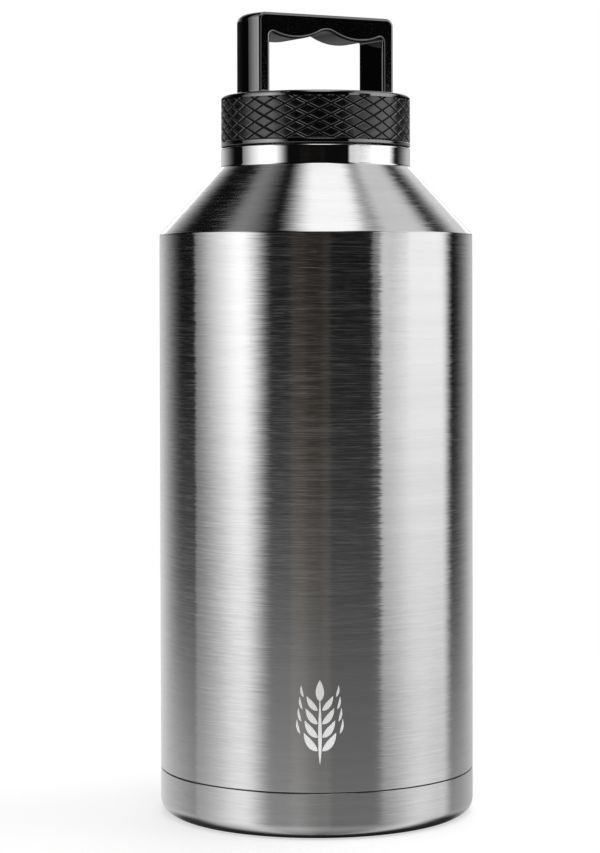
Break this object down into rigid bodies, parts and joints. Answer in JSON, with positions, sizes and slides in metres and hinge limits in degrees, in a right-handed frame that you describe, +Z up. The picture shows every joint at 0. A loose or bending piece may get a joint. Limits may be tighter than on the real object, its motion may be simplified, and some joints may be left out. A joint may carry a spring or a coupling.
{
  "type": "growler",
  "caption": "Double-wall steel growler: straight cylinder, conical shoulder, short neck, and a black screw-on lid with a diamond-knurled grip band and a loop handle.",
  "frame": {"origin": "on the bottle's axis, at the surface it stands on", "axes": "+Z up along the bottle's axis; the handle's loop lies along X; -Y is the handle's front face"},
  "size_m": [0.12, 0.12, 0.3044],
  "materials": {
    "brushed_body": "stainless, brushed around the axis; neck polished",
    "inner_steel": "stainless, as drawn and electropolished",
    "bare_foil": "bright foil",
    "seam_black": "cured black adhesive",
    "bead_glass": "fused bead",
    "getter_metal": "sintered grey",
    "gloss_black": "smooth gloss black moulding",
    "grip_black": "fine-grained black, diamond knurl",
    "seal_rubber": "food-grade silicone",
    "foam_white": "rigid foam"
  },
  "bodies": {
    "bottle": {"outer_shell": "brushed_body", "shell_shoulder": "brushed_body", "base_cap": "brushed_body", "base_bond": "seam_black", "outer_bottom": "inner_steel", "port_seal": "bead_glass", "getter_clip": "inner_steel", "getter_pellet": "getter_metal", "inner_liner": "inner_steel", "liner_shoulder": "inner_steel", "liner_bottom": "inner_steel", "radiation_foil": "bare_foil", "threaded_spout": "inner_steel"},
    "gasket": {"mouth_gasket": "seal_rubber"},
    "lid": {"thread_cup": "gloss_black", "grip_ring": "grip_black", "handle_deck": "gloss_black", "deck_seal": "seal_rubber", "deck_screws": "inner_steel", "foam_insert": "foam_white", "plug_plate": "inner_steel", "plate_seal": "seal_rubber"}
  },
  "joints": [
    {"name": "lid_lift", "type": "slide", "parent": "bottle", "child": "gasket", "axis": [0, 0, 1], "range_m": [0, 0.0136]},
    {"name": "lid_turn", "type": "hinge", "parent": "gasket", "child": "lid", "pos_m": [0, 0, 0.2655], "axis": [0, 0, 1], "range_deg": [0, 1080]}
  ],
  "couplings": [
    {"joint": "lid_lift", "follows": "lid_turn", "m_per_rad": 0.0007162}
  ]
}
